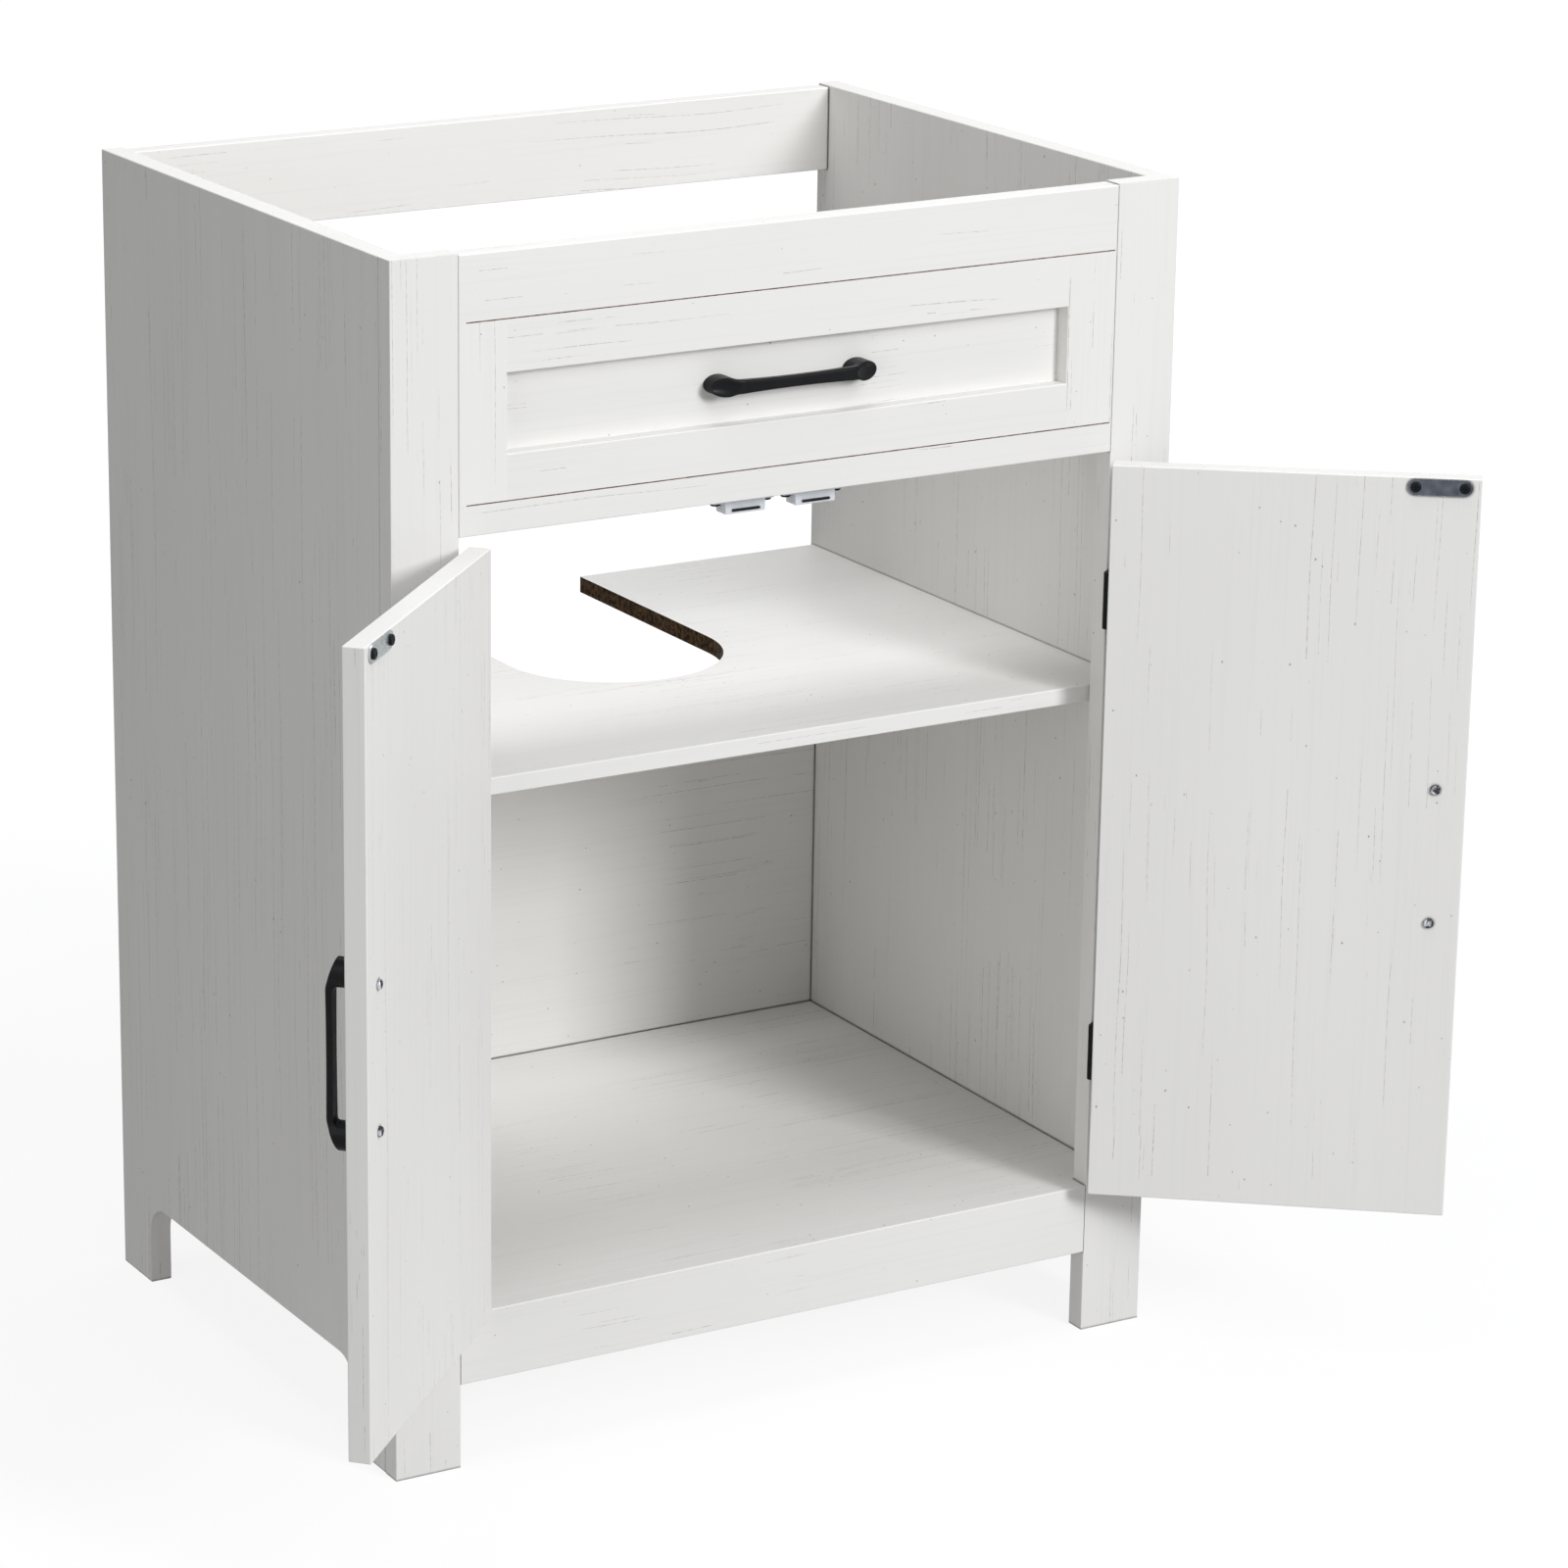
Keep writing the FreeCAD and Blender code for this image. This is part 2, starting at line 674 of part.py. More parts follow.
# Pull of the fixed front panel
pull = pull_bar()
save("drawer_pull", on_drawer(pull))
save_group("drawer_pull_screws", [on_drawer(s) for s in pull_screws(inset_t)])

# Catches
catch = catch_body()
save("left_catch", catch)
save("right_catch", mirrored(catch))
save("left_catch_magnet", pole_plate(0))
save("right_catch_magnet", mirrored(pole_plate(0)))
save_group("catch_screws", both(catch_screws))

# Hinge pieces that stay on the frame
for level, mid_z in hinge_heights.items():
    leaf = frame_leaf(mid_z)
    save("left_" + level + "_frame_leaf", leaf)
    save("right_" + level + "_frame_leaf", mirrored(leaf))
save_group("hinge_pins", both(hinge_pins))
save_group("hinge_frame_screws", both(frame_screws))

# Door: one board with a shallow recess milled in its outer face, and all that is screwed to it
door = block(door_hinge_x, door_free_x, front_y, door_back_y, door_low_z, door_top_z)
door = rounded(door, edge_r, lambda c: True)
recess = block(door_hinge_x + door_frame_w, door_free_x - door_frame_w, front_y - past,
               front_y + door_recess_d, door_low_z + door_frame_w, door_top_z - door_frame_w)
recess_y = front_y + (door_recess_d - past) / 2
recess = rounded(recess, door_recess_r, lambda c: near(c.y, recess_y))
door = door.cut([recess] + door_holes)
door_pieces = {"door_board": [door], "door_pull": [on_door(pull)]}
door_pieces["pull_screws"] = [on_door(s) for s in pull_screws(door_t)]
door_pieces["strike_plate"] = [strike_plate().cut(strike_holes)]
door_pieces["strike_screws"] = strike_screws
door_pieces["hinge_door_screws"] = door_screws
for level, mid_z in hinge_heights.items():
    door_pieces[level + "_door_leaf"] = [door_leaf(mid_z)]


def swung(shape, x, degrees):
    moved = shape.copy()
    moved.rotate(V(x, pivot_y, 0), UP, degrees)
    return moved


for name, shapes in door_pieces.items():
    left = [swung(s, pivot_x, -left_open_angle) for s in shapes]
    right = [swung(mirrored(s), -pivot_x, right_open_angle) for s in shapes]
    if len(shapes) > 1:
        save_group("left_" + name, left)
        save_group("right_" + name, right)
    else:
        save("left_" + name, left[0])
        save("right_" + name, right[0])
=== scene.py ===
import math

import bpy
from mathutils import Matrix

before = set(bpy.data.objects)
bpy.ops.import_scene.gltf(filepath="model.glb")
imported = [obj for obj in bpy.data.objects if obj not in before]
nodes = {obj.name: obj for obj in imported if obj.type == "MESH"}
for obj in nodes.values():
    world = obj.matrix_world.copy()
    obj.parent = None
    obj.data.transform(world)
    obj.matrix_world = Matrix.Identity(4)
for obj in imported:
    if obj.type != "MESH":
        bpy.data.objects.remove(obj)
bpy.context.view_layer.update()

# Side panels: 16 mm particleboard in a white wood-grain film, the grain running up.
# They stand on their own feet and carry every other board on dowels and cam bolts.
FILM_LIGHT = (0.832, 0.821, 0.798, 1)
FILM_SHADE = (0.806, 0.794, 0.770, 1)
FIBRE = (0.700, 0.692, 0.674, 1)
DASH = (0.340, 0.312, 0.292, 1)
SPECK = (0.200, 0.184, 0.174, 1)
# Painted shade: a dark colour laid in the thin cracks where boards meet.
SEAM_SHADE = (0.185, 0.172, 0.155, 1)
SEAM_SHADE_REACH = 0.002
# Painted highlight: a light colour laid on the rounded edges of the boards.
EDGE_HIGHLIGHT = (0.880, 0.880, 0.868, 1)
EDGE_WIDTH = 0.0012
FILM_SHINE = 0.35
FILM_SMOOTH = 0.42
FILM_ROUGH = 0.56
WANDER = 0.010
CROWDING = 1.4
# Cells of the film's marks for each metre along and across the grain, the least and most that a mark
# reaches in its cell, and the share of the cells that hold a mark.
SHORT_DASH = {"along": 7.0, "across": 1050.0, "thin": 0.10, "thick": 0.28, "share": 0.04}
LONG_DASH = {"along": 1.9, "across": 960.0, "thin": 0.12, "thick": 0.28, "share": 0.16}
SPECKS = {"along": 75.0, "across": 110.0, "thin": 0.03, "thick": 0.08, "share": 0.62}
# A grain is the axis it runs along, and the way across it in the board's face.
UP_ON_SIDE = (2, (0, 1, 0))
UP_ON_FRONT = (2, (1, 0, 0))
ACROSS_ON_FRONT = (0, (0, 0, 1))
ACROSS_ON_TOP = (0, (0, 1, 0))


def material(name):
    made = bpy.data.materials.new(name)
    made.use_nodes = True
    return made


def add(mat, kind, **sockets):
    node = mat.node_tree.nodes.new(kind)
    for key, value in sockets.items():
        node.inputs[key.replace("_", " ")].default_value = value
    return node


def join(mat, out, into):
    mat.node_tree.links.new(out, into)


def shader(mat):
    return mat.node_tree.nodes["Principled BSDF"]


def place(mat):
    where = mat.node_tree.nodes.get("place") or mat.node_tree.nodes.new("ShaderNodeTexCoord")
    where.name = "place"
    return where.outputs["Object"]


def mapped(mat, source, scale, shift):
    spot = add(mat, "ShaderNodeMapping", Scale=scale, Location=(shift, shift * 1.7, shift * 2.3))
    join(mat, source, spot.inputs["Vector"])
    return spot.outputs["Vector"]


def noise(mat, scale, shift, detail, rough=0.5, distort=0.0):
    tex = add(mat, "ShaderNodeTexNoise", Scale=1.0, Detail=detail, Roughness=rough, Distortion=distort)
    join(mat, mapped(mat, place(mat), scale, shift), tex.inputs["Vector"])
    return tex.outputs["Fac"]


def ramp(mat, source, *stops):
    node = add(mat, "ShaderNodeValToRGB")
    row = node.color_ramp.elements
    while len(row) < len(stops):
        row.new(0.5)
    for element, (at, colour) in zip(row, stops):
        element.position = at
        element.color = colour if isinstance(colour, tuple) else (colour, colour, colour, 1)
    join(mat, source, node.inputs["Fac"])
    return node.outputs["Color"]


def blend(mat, factor, under, over):
    node = add(mat, "ShaderNodeMix")
    node.data_type = "RGBA"
    join(mat, factor, node.inputs[0])
    for source, socket in ((under, node.inputs[6]), (over, node.inputs[7])):
        if isinstance(source, tuple):
            socket.default_value = source
        else:
            join(mat, source, socket)
    return node.outputs[2]


def maths(mat, operation, first, *others):
    node = add(mat, "ShaderNodeMath")
    node.operation = operation
    for socket, source in zip(node.inputs, (first,) + others):
        if isinstance(source, (int, float)):
            socket.default_value = source
        else:
            join(mat, source, socket)
    return node.outputs[0]


def edge_mask(mat, radius, reach):
    # One on rounded edges, zero on the flats, where painted edge highlights and wear are laid.
    bevel = add(mat, "ShaderNodeBevel", Radius=radius)
    bevel.samples = 3
    face = add(mat, "ShaderNodeNewGeometry")
    dot = add(mat, "ShaderNodeVectorMath")
    dot.operation = "DOT_PRODUCT"
    join(mat, bevel.outputs["Normal"], dot.inputs[0])
    join(mat, face.outputs["True Normal"], dot.inputs[1])
    return ramp(mat, dot.outputs["Value"], (reach, 1.0), (0.999, 0.0))


def seam_shade_mask(mat):
    # One in the thin cracks where boards meet, where painted shade goes.
    crack = add(mat, "ShaderNodeAmbientOcclusion", Distance=SEAM_SHADE_REACH)
    crack.samples = 2
    return ramp(mat, crack.outputs["AO"], (0.5, 1.0), (0.7, 0.0))


def bump(mat, height, strength, distance):
    node = add(mat, "ShaderNodeBump", Strength=strength, Distance=distance)
    join(mat, height, node.inputs["Height"])
    join(mat, node.outputs["Normal"], shader(mat).inputs["Normal"])


def stretched(axis, along, across):
    scale = [across, across, across]
    scale[axis] = along
    return scale


def wandering(mat, seed, sideways):
    # Places pushed a little to and fro in the face, so that long marks are not ruler-straight.
    drift = noise(mat, (5.0, 5.0, 5.0), seed, 1.0)
    push = add(mat, "ShaderNodeVectorMath")
    push.operation = "MULTIPLY_ADD"
    push.inputs[1].default_value = [WANDER * part for part in sideways]
    join(mat, drift, push.inputs[0])
    join(mat, place(mat), push.inputs[2])
    return push.outputs["Vector"]


def flecks(mat, path, axis, seed, marked, along, across, thin, thick, share):
    # One mark in each cell of a stretched pattern, of which a share is kept, more in some places.
    tex = add(mat, "ShaderNodeTexVoronoi", Scale=1.0, Randomness=1.0)
    join(mat, mapped(mat, path, stretched(axis, along, across), seed), tex.inputs["Vector"])
    draw = add(mat, "ShaderNodeSeparateColor")
    join(mat, tex.outputs["Color"], draw.inputs["Color"])
    reach = maths(mat, "MULTIPLY_ADD", draw.outputs["Green"], thick - thin, thin)
    inside = maths(mat, "LESS_THAN", tex.outputs["Distance"], reach)
    crowd = noise(mat, (8.0, 8.0, 8.0), seed + 2.7, 2.0)
    odds = maths(mat, "MULTIPLY_ADD", crowd, CROWDING, draw.outputs["Red"])
    kept = maths(mat, "GREATER_THAN", odds, 1.0 + CROWDING / 2 - share * marked)
    return maths(mat, "MULTIPLY", inside, kept)


def film_colour(mat, grain, seed, marked):
    # Near-white ground with faint fibres, thin broken dashes in clusters, and small dark specks.
    axis, sideways = grain
    cloud = noise(mat, stretched(axis, 1.5, 6.0), seed, 2.0)
    colour = ramp(mat, cloud, (0.35, FILM_SHADE), (0.62, FILM_LIGHT))
    fibre = noise(mat, stretched(axis, 5.0, 320.0), seed + 3.1, 3.0, 0.6, 0.2)
    colour = blend(mat, ramp(mat, fibre, (0.52, 0.0), (0.76, 0.22)), colour, FIBRE)
    path = wandering(mat, seed + 4.0, sideways)
    short = flecks(mat, path, axis, seed + 5.7, marked, **SHORT_DASH)
    long = flecks(mat, path, axis, seed + 7.9, marked, **LONG_DASH)
    gaps = noise(mat, stretched(axis, 220.0, 500.0), seed + 9.0, 2.0)
    broken = ramp(mat, gaps, (0.40, 0.18), (0.60, 0.75))
    mark = maths(mat, "MULTIPLY", maths(mat, "MAXIMUM", short, long), broken)
    colour = blend(mat, mark, colour, DASH)
    speck = flecks(mat, path, axis, seed + 11.3, 1.0, **SPECKS)
    return blend(mat, maths(mat, "MULTIPLY", speck, broken), colour, SPECK), fibre, mark


def film(name, grain, seed, seam_shade=True, marked=1.0):
    mat = material(name)
    colour, fibre, mark = film_colour(mat, grain, seed, marked)
    # The rounded edges are painted lighter, as a painted highlight.
    colour = blend(mat, edge_mask(mat, EDGE_WIDTH, 0.86), colour, EDGE_HIGHLIGHT)
    # The cracks where boards meet are painted dark, as painted shade.
    if seam_shade:
        colour = blend(mat, seam_shade_mask(mat), colour, SEAM_SHADE)
    join(mat, colour, shader(mat).inputs["Base Color"])
    join(mat, ramp(mat, fibre, (0.3, FILM_SMOOTH), (0.7, FILM_ROUGH)), shader(mat).inputs["Roughness"])
    shader(mat).inputs["Specular IOR Level"].default_value = FILM_SHINE
    bump(mat, maths(mat, "SUBTRACT", fibre, mark), 0.12, 0.0003)
    return mat


def dress(mat, *names):
    for name in names:
        nodes[name].data.materials.clear()
        nodes[name].data.materials.append(mat)


dress(film("side film left", UP_ON_SIDE, seed=1.0, marked=1.3), "left_side_panel")
dress(film("side film right", UP_ON_SIDE, seed=2.3), "right_side_panel")

# Stiles: boards of the same film, doweled to the front edges of the side panels.
# Their grain runs up, and they reach the floor as the front feet.
dress(film("stile film", UP_ON_FRONT, seed=4.9), "left_stile", "right_stile")

# Bottom rail: a low board doweled between the stiles, level with the floor panel behind it.
# It is in the same film, its grain running across.
dress(film("rail film", ACROSS_ON_FRONT, seed=6.2), "bottom_rail")

# Front panel: a fixed board that looks like a drawer, with a window and two routed grooves.
# The film's grain runs across, but up beside the window, as on a framed drawer front.
# The grooves cut through the film, so the brown core of the board shows in them.
GROOVE_DARK = (0.070, 0.040, 0.026, 1)
GROOVE_LIGHT = (0.350, 0.225, 0.160, 1)
PANEL_FACE_Y = -0.221
GROOVE_MID_D = 0.0007
GROOVE_HALF_D = 0.0005
GROOVE_Z = (0.6675, 0.7868)
GROOVE_HALF_W = 0.0009
GROOVE_HALF_L = 0.2475
GROOVE_MID_X = 0.00195
WINDOW_MID_X = -0.0016
WINDOW_HALF_L = 0.2144


def core_colour(mat, seed, dark, light):
    chip = noise(mat, (250.0, 250.0, 250.0), seed, 4.0, 0.7)
    return ramp(mat, chip, (0.40, dark), (0.60, light))


def object_xyz(mat):
    split = add(mat, "ShaderNodeSeparateXYZ")
    join(mat, place(mat), split.inputs["Vector"])
    return split.outputs


def overlay(mat, mask, colour):
    plain = shader(mat).inputs["Base Color"].links[0].from_socket
    join(mat, blend(mat, mask, plain, colour), shader(mat).inputs["Base Color"])


panel = film("front panel film", ACROSS_ON_FRONT, seed=8.4, seam_shade=False, marked=0.4)
x, y, z = object_xyz(panel)
low_z, high_z = GROOVE_Z
beside = maths(panel, "SUBTRACT", 1.0, maths(panel, "COMPARE", x, WINDOW_MID_X, WINDOW_HALF_L))
framed = maths(panel, "COMPARE", z, (low_z + high_z) / 2, (high_z - low_z) / 2)
upright = film_colour(panel, UP_ON_FRONT, 21.5, 1.0)[0]
overlay(panel, maths(panel, "MULTIPLY", beside, framed), upright)
low = maths(panel, "COMPARE", z, low_z, GROOVE_HALF_W)
high = maths(panel, "COMPARE", z, high_z, GROOVE_HALF_W)
groove = maths(panel, "ADD", low, high)
groove = maths(panel, "MULTIPLY", groove, maths(panel, "COMPARE", x, GROOVE_MID_X, GROOVE_HALF_L))
below = maths(panel, "COMPARE", y, PANEL_FACE_Y + GROOVE_MID_D, GROOVE_HALF_D)
groove = maths(panel, "MULTIPLY", groove, below)
overlay(panel, groove, core_colour(panel, 3.3, GROOVE_DARK, GROOVE_LIGHT))
dress(panel, "front_panel")

# Inset: a thin film-covered board let into the back of the front panel.
# It closes the window from behind and takes the pull's screws.
dress(film("inset film", ACROSS_ON_FRONT, seed=9.7, seam_shade=False, marked=0.4), "front_inset")

# Stretcher: a hidden board behind the front panel's lower edge, cam-locked to the sides.
# The two magnetic catches are screwed to its underside.
dress(film("stretcher film", ACROSS_ON_FRONT, seed=11.1), "front_stretcher")

# Floor panel: a board in the same film between the sides, level with the bottom rail.
# It is held by dowels and by cams in its underside.
dress(film("floor film", ACROSS_ON_TOP, seed=12.6), "floor_panel")

# Shelf: a 12 mm board on dowels, with a round-nosed cut-out for the waste pipe.
# The cut-out was sawn after the film went on, so its wall is bare particleboard.
CORE_DARK = (0.006, 0.0035, 0.002, 1)
CORE_LIGHT = (0.125, 0.070, 0.030, 1)
SAWN_SHINE = 0.02
CUT_HALF = 0.0825
CUT_FRONT = -0.056
shelf = film("shelf film", ACROSS_ON_TOP, seed=14.0, seam_shade=False)
x, y, z = object_xyz(shelf)
between = maths(shelf, "COMPARE", x, 0.0, CUT_HALF)
inside = maths(shelf, "MULTIPLY", between, maths(shelf, "GREATER_THAN", y, CUT_FRONT))
face = add(shelf, "ShaderNodeNewGeometry")
facing = add(shelf, "ShaderNodeSeparateXYZ")
join(shelf, face.outputs["True Normal"], facing.inputs["Vector"])
upright = maths(shelf, "COMPARE", facing.outputs["Z"], 0.0, 0.3)
sawn = maths(shelf, "MULTIPLY", inside, upright)
overlay(shelf, sawn, core_colour(shelf, 1.9, CORE_DARK, CORE_LIGHT))
shine = maths(shelf, "MULTIPLY_ADD", sawn, SAWN_SHINE - FILM_SHINE, FILM_SHINE)
join(shelf, shine, shader(shelf).inputs["Specular IOR Level"])
dress(shelf, "shelf")

# Lower back panel and top back rail: boards doweled and cam-locked between the sides.
# The rail takes the screws that hold the cabinet to the wall.
dress(film("back film", ACROSS_ON_FRONT, seed=15.5), "lower_back_panel")
dress(film("back rail film", ACROSS_ON_FRONT, seed=16.8), "top_back_rail")

# Joinery: beech dowels, zinc cam locks and zinc bolts that pull the boards together.
# They sit inside the boards or on hidden faces.
BEECH_LIGHT = (0.62, 0.43, 0.24, 1)
BEECH_DARK = (0.42, 0.27, 0.14, 1)
ZINC_LIGHT = (0.62, 0.63, 0.65, 1)
ZINC_DARK = (0.40, 0.41, 0.43, 1)
beech = material("beech")
grain = noise(beech, (30.0, 500.0, 500.0), 2.2, 3.0)
ground = ramp(beech, grain, (0.35, BEECH_DARK), (0.65, BEECH_LIGHT))
join(beech, ground, shader(beech).inputs["Base Color"])
join(beech, ramp(beech, grain, (0.3, 0.55), (0.7, 0.75)), shader(beech).inputs["Roughness"])
bump(beech, grain, 0.2, 0.0003)
dress(beech, "board_dowels", "thin_dowels")


def metal(name, light, dark, rim_highlight, rough, seed, patches=(0.3, 0.7)):
    mat = material(name)
    # The patches are the metal's tone on zinc and painted reflections on the screws, and the rim colour is a
    # painted highlight.
    tone_and_reflection_blotch = noise(mat, (160.0, 160.0, 160.0), seed, 3.0)
    scratch = noise(mat, (40.0, 900.0, 900.0), seed + 1.3, 2.0)
    colour = ramp(mat, tone_and_reflection_blotch, (patches[0], dark), (patches[1], light))
    colour = blend(mat, edge_mask(mat, 0.0004, 0.8), colour, rim_highlight)
    join(mat, colour, shader(mat).inputs["Base Color"])
    join(mat, ramp(mat, scratch, (0.3, rough[0]), (0.7, rough[1])), shader(mat).inputs["Roughness"])
    shader(mat).inputs["Metallic"].default_value = 1.0
    bump(mat, scratch, 0.05, 0.0002)
    return mat


zinc = metal("zinc", ZINC_LIGHT, ZINC_DARK, ZINC_LIGHT, rough=(0.25, 0.42), seed=5.0)
dress(zinc, "cam_locks", "cam_bolts")

# Pulls: cast zinc bars with a satin black coat, each held by two steel screws from behind.
# One is on the inset of the front panel and one on each door.
BLACK_COAT = (0.0055, 0.0058, 0.0065, 1)
BLACK_PATCH = (0.0095, 0.0100, 0.0110, 1)
BLACK_WORN = (0.022, 0.023, 0.025, 1)
COAT_SHINE = 0.10
# The screw heads' light and dark patches are painted reflections, and their light rims a painted glint.
SCREW_REFLECTION_LIGHT = (0.560, 0.580, 0.620, 1)
SCREW_REFLECTION_DARK = (0.035, 0.037, 0.042, 1)
SCREW_RIM_GLINT = (0.300, 0.308, 0.325, 1)
SCREW_REFLECTION_PATCHES = (0.45, 0.55)


def black_coat(name, rough, seed, wear):
    mat = material(name)
    mottle = noise(mat, (90.0, 90.0, 90.0), seed, 3.0)
    orange = noise(mat, (1400.0, 1400.0, 1400.0), seed + 2.9, 1.0)
    colour = ramp(mat, mottle, (0.3, BLACK_COAT), (0.75, BLACK_PATCH))
    colour = blend(mat, edge_mask(mat, wear, 0.75), colour, BLACK_WORN)
    join(mat, colour, shader(mat).inputs["Base Color"])
    join(mat, ramp(mat, mottle, (0.3, rough[0]), (0.7, rough[1])), shader(mat).inputs["Roughness"])
    shader(mat).inputs["Specular IOR Level"].default_value = COAT_SHINE
    bump(mat, orange, 0.06, 0.0002)
    return mat


pull_coat = black_coat("pull coat", rough=(0.28, 0.38), seed=3.0, wear=0.0006)
dress(pull_coat, "drawer_pull", "left_door_pull", "right_door_pull")
# The screws carry painted reflections and a painted glint on their rims.
screw_painted_reflections = metal("screw steel painted reflections", SCREW_REFLECTION_LIGHT, SCREW_REFLECTION_DARK, SCREW_RIM_GLINT,
                    rough=(0.22, 0.36), seed=6.4, patches=SCREW_REFLECTION_PATCHES)
dress(screw_painted_reflections, "drawer_pull_screws", "left_pull_screws", "right_pull_screws")

# Catches: white plastic bodies with a dark pole plate in front, screwed up into the stretcher.
# The plastic is moulded and slightly blue, and the plate and screws are blackened steel.
PLASTIC_LIGHT = (0.79, 0.82, 0.86, 1)
PLASTIC_SHADE = (0.71, 0.74, 0.79, 1)
PLASTIC_EDGE = (0.86, 0.88, 0.90, 1)
plastic = material("catch plastic")
mottle = noise(plastic, (120.0, 120.0, 120.0), 6.0, 2.0)
fine = noise(plastic, (2600.0, 2600.0, 2600.0), 1.0, 1.0)
ground = ramp(plastic, mottle, (0.3, PLASTIC_SHADE), (0.7, PLASTIC_LIGHT))
ground = blend(plastic, edge_mask(plastic, 0.0005, 0.8), ground, PLASTIC_EDGE)
join(plastic, ground, shader(plastic).inputs["Base Color"])
join(plastic, ramp(plastic, mottle, (0.3, 0.40), (0.7, 0.52)), shader(plastic).inputs["Roughness"])
bump(plastic, fine, 0.08, 0.0002)
dress(plastic, "left_catch", "right_catch")
pole_steel = black_coat("pole steel", rough=(0.35, 0.5), seed=7.7, wear=0.0002)
dress(pole_steel, "left_catch_magnet", "right_catch_magnet")
dress(black_coat("black screw", rough=(0.28, 0.42), seed=9.1, wear=0.0003),
      "catch_screws", "hinge_frame_screws", "left_hinge_door_screws", "right_hinge_door_screws",
      "left_strike_screws", "right_strike_screws")

# Surface hinges: black steel leaves screwed to the front faces of the stiles and doors.
# Their knuckles stand in the gap beside the door and turn on steel pins.
hinge_coat = black_coat("hinge coat", rough=(0.38, 0.50), seed=4.4, wear=0.0003)
dress(hinge_coat, "hinge_pins")
for side in ("left", "right"):
    for level in ("upper", "lower"):
        dress(hinge_coat, f"{side}_{level}_frame_leaf", f"{side}_{level}_door_leaf")

# Doors: 15 mm boards in the same film, the grain running up, plain inside and recessed outside.
# Each hangs on two hinges and stands open, so the way across its face is slanted.
UP_ON_LEFT_DOOR = (2, (0.716, 0.698, 0))
UP_ON_RIGHT_DOOR = (2, (0.791, -0.612, 0))
dress(film("left door film", UP_ON_LEFT_DOOR, seed=18.2), "left_door_board")
dress(film("right door film", UP_ON_RIGHT_DOOR, seed=19.9), "right_door_board")

# Strike plates: zinc-plated steel strips screwed to the doors' inner faces to meet the catches.
# The left one is made brighter than the right one, as the photograph shows them.
# Both plates are one zinc-plated steel; the left one's light colour is a painted bright reflection, the
# right one's dark colour a painted dark reflection, and the light rims a painted highlight.
BRIGHT_REFLECTION_LIGHT = (0.620, 0.665, 0.685, 1)
BRIGHT_REFLECTION_DARK = (0.500, 0.545, 0.570, 1)
DARK_REFLECTION_LIGHT = (0.110, 0.122, 0.146, 1)
DARK_REFLECTION_DARK = (0.062, 0.069, 0.086, 1)
STRIKE_RIM_HIGHLIGHT = (0.70, 0.73, 0.76, 1)
STRIKE_ROUGH = (0.24, 0.38)
strike_bright_reflection = metal("strike steel painted bright reflection", BRIGHT_REFLECTION_LIGHT, BRIGHT_REFLECTION_DARK, STRIKE_RIM_HIGHLIGHT, STRIKE_ROUGH, seed=8.0)
strike_dark_reflection = metal("strike steel painted dark reflection", DARK_REFLECTION_LIGHT, DARK_REFLECTION_DARK, STRIKE_RIM_HIGHLIGHT, STRIKE_ROUGH, seed=8.6)
dress(strike_bright_reflection, "left_strike_plate")
dress(strike_dark_reflection, "right_strike_plate")

# Stage: a plain pale floor that shows as white, apart from the cabinet's soft shadow.
# It brightens with distance, so that it runs into the white surround.
# A patch of the paper in front of the cabinet glows for diffuse rays, a painted bounce light on its lower
# parts.
FLOOR_HALF = 6.0
FLOOR_TONE = 0.15
FLOOR_GLOW = 0.86
BOUNCE = 0.36
BOUNCE_AT = (0.0, -0.8, 0.0)
BOUNCE_REACH = 1.5


def share_of_way(mat, start, reach):
    # How far a place lies from a start, as a share of the reach.
    gap = add(mat, "ShaderNodeVectorMath")
    gap.operation = "DISTANCE"
    join(mat, place(mat), gap.inputs[0])
    gap.inputs[1].default_value = start
    return maths(mat, "DIVIDE", gap.outputs["Value"], reach)


bpy.ops.mesh.primitive_plane_add(size=2 * FLOOR_HALF, location=(0, 0, 0))
floor = bpy.context.object
floor.name = "stage_floor"
paper = material("stage paper")
shader(paper).inputs["Roughness"].default_value = 0.9
shader(paper).inputs["Specular IOR Level"].default_value = 0.0
tone = noise(paper, (3.0, 3.0, 3.0), 0.0, 2.0)
ground = ramp(paper, tone, (0.3, FLOOR_TONE), (0.7, FLOOR_TONE + 0.01))
join(paper, ground, shader(paper).inputs["Base Color"])
glow = ramp(paper, share_of_way(paper, (0, 0, 0), FLOOR_HALF), (0.12, FLOOR_GLOW), (0.40, 1.0))
seen_by = add(paper, "ShaderNodeLightPath").outputs
shows = maths(paper, "MAXIMUM", seen_by["Is Camera Ray"], seen_by["Is Glossy Ray"])
shows = maths(paper, "MAXIMUM", shows, seen_by["Is Transmission Ray"])
shader(paper).inputs["Emission Color"].default_value = (1, 1, 1, 1)
# The glowing patch is a painted bounce light, seen only by diffuse rays.
patch = ramp(paper, share_of_way(paper, BOUNCE_AT, BOUNCE_REACH), (0.25, BOUNCE), (1.0, 0.0))
bounce = maths(paper, "MULTIPLY", seen_by["Is Diffuse Ray"], patch)
strength = maths(paper, "MULTIPLY_ADD", glow, shows, bounce)
join(paper, strength, shader(paper).inputs["Emission Strength"])
paper.cycles.emission_sampling = "NONE"
floor.data.materials.append(paper)

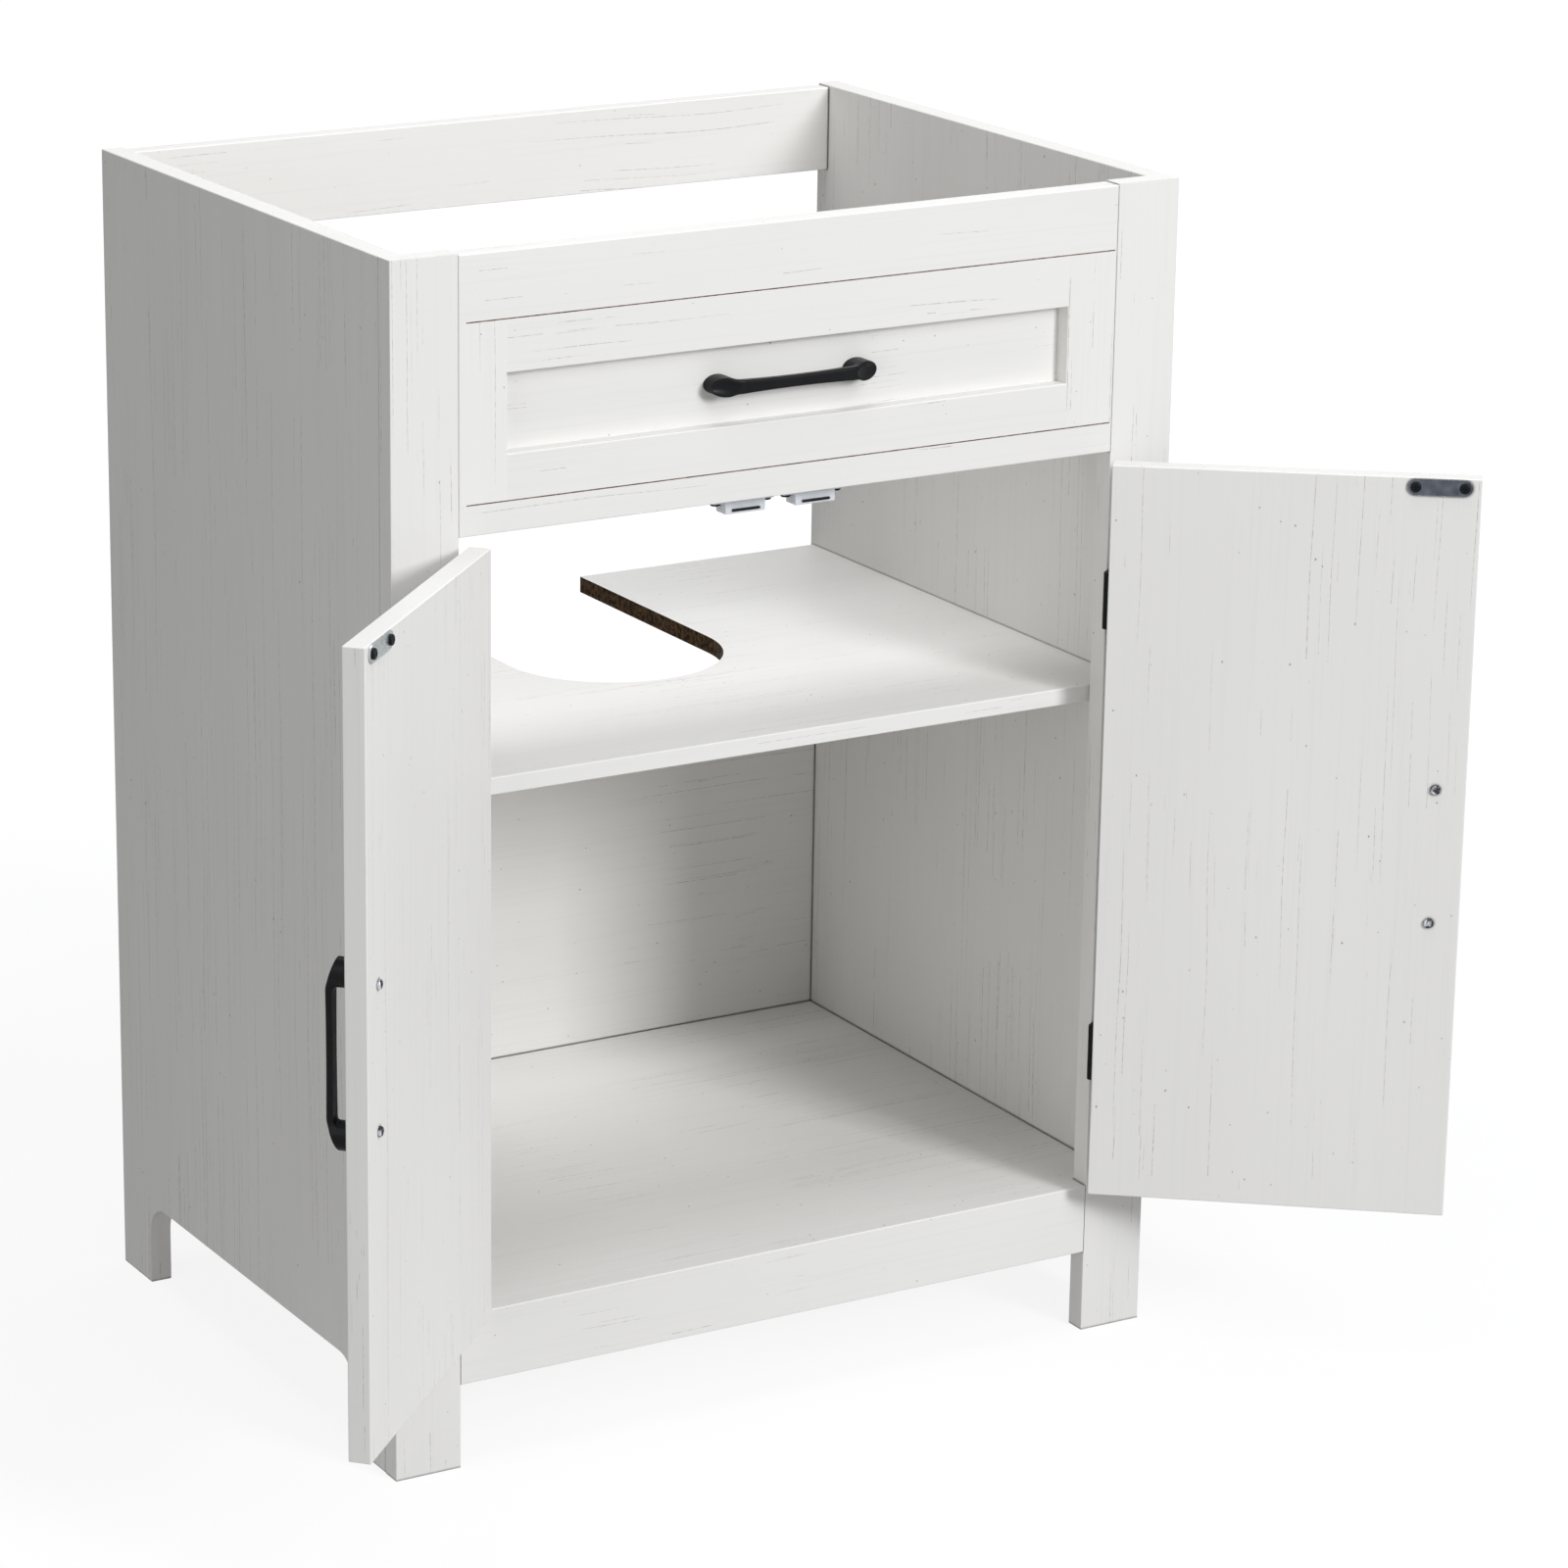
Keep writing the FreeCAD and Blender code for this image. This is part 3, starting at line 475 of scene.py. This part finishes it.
# Light: a white surround, a key lamp in front and a little to the right, a weaker one above it,
# a weak lamp at the left and a wide lamp overhead, all a little cool.
# The surround lights the cabinet less than it shows.
ROOM_LEVEL = 0.2
LAMP_AIM_Z = 0.45
LAMP_TINT = (0.970, 0.982, 1.0)
world = bpy.data.worlds.new("studio")
bpy.context.scene.world = world
world.use_nodes = True
tree = world.node_tree
room = tree.nodes["Background"]
room.name = "room"
room.inputs["Color"].default_value = LAMP_TINT + (1,)
room.inputs["Strength"].default_value = ROOM_LEVEL
white = tree.nodes.new("ShaderNodeBackground")
white.name = "white"
white.inputs["Color"].default_value = (1, 1, 1, 1)
white.inputs["Strength"].default_value = 1.0
seen_by = tree.nodes.new("ShaderNodeLightPath").outputs
shows = maths(world, "MAXIMUM", seen_by["Is Camera Ray"], seen_by["Is Glossy Ray"])
shows = maths(world, "MAXIMUM", shows, seen_by["Is Transmission Ray"])
choose = tree.nodes.new("ShaderNodeMixShader")
tree.links.new(shows, choose.inputs[0])
tree.links.new(room.outputs[0], choose.inputs[1])
tree.links.new(white.outputs[0], choose.inputs[2])
tree.links.new(choose.outputs[0], tree.nodes["World Output"].inputs["Surface"])


def lamp(name, azimuth, elevation, distance, width, power):
    # Azimuth is counted from the front, positive to the right, and the lamp faces the cabinet.
    light = bpy.data.lights.new(name, "AREA")
    light.shape = "SQUARE"
    light.size = width
    light.energy = power
    light.color = LAMP_TINT
    made = bpy.data.objects.new(name, light)
    bpy.context.collection.objects.link(made)
    turn = math.radians(azimuth)
    rise = math.radians(elevation)
    reach = distance * math.cos(rise)
    made.location = (reach * math.sin(turn), -reach * math.cos(turn), LAMP_AIM_Z + distance * math.sin(rise))
    made.rotation_euler = (math.pi / 2 - rise, 0.0, turn)


lamp("key lamp", azimuth=17.0, elevation=22.0, distance=5.0, width=1.1, power=120.0)
lamp("front lamp", azimuth=10.0, elevation=40.0, distance=4.5, width=1.6, power=36.0)
lamp("left lamp", azimuth=-60.0, elevation=10.0, distance=3.0, width=1.5, power=14.0)
lamp("top lamp", azimuth=0.0, elevation=90.0, distance=2.6, width=2.0, power=42.0)

# Camera: where the photograph was taken, with the picture's off-centre crop.
# It looks down a little from the front left, through a long lens.
CAMERA_AT = (-1.779447, -3.138853, 1.498517)
CAMERA_YAW = 0.4898
CAMERA_PITCH = 0.2901
lens = bpy.data.cameras.new("photo")
lens.sensor_width = 36.0
lens.lens = 121.99
lens.shift_x = 0.18333
lens.shift_y = -0.03084
camera = bpy.data.objects.new("photo", lens)
bpy.context.collection.objects.link(camera)
camera.location = CAMERA_AT
camera.rotation_euler = (math.pi / 2 - CAMERA_PITCH, 0.0, -CAMERA_YAW)
bpy.context.scene.camera = camera
bpy.context.scene.view_settings.view_transform = "Standard"
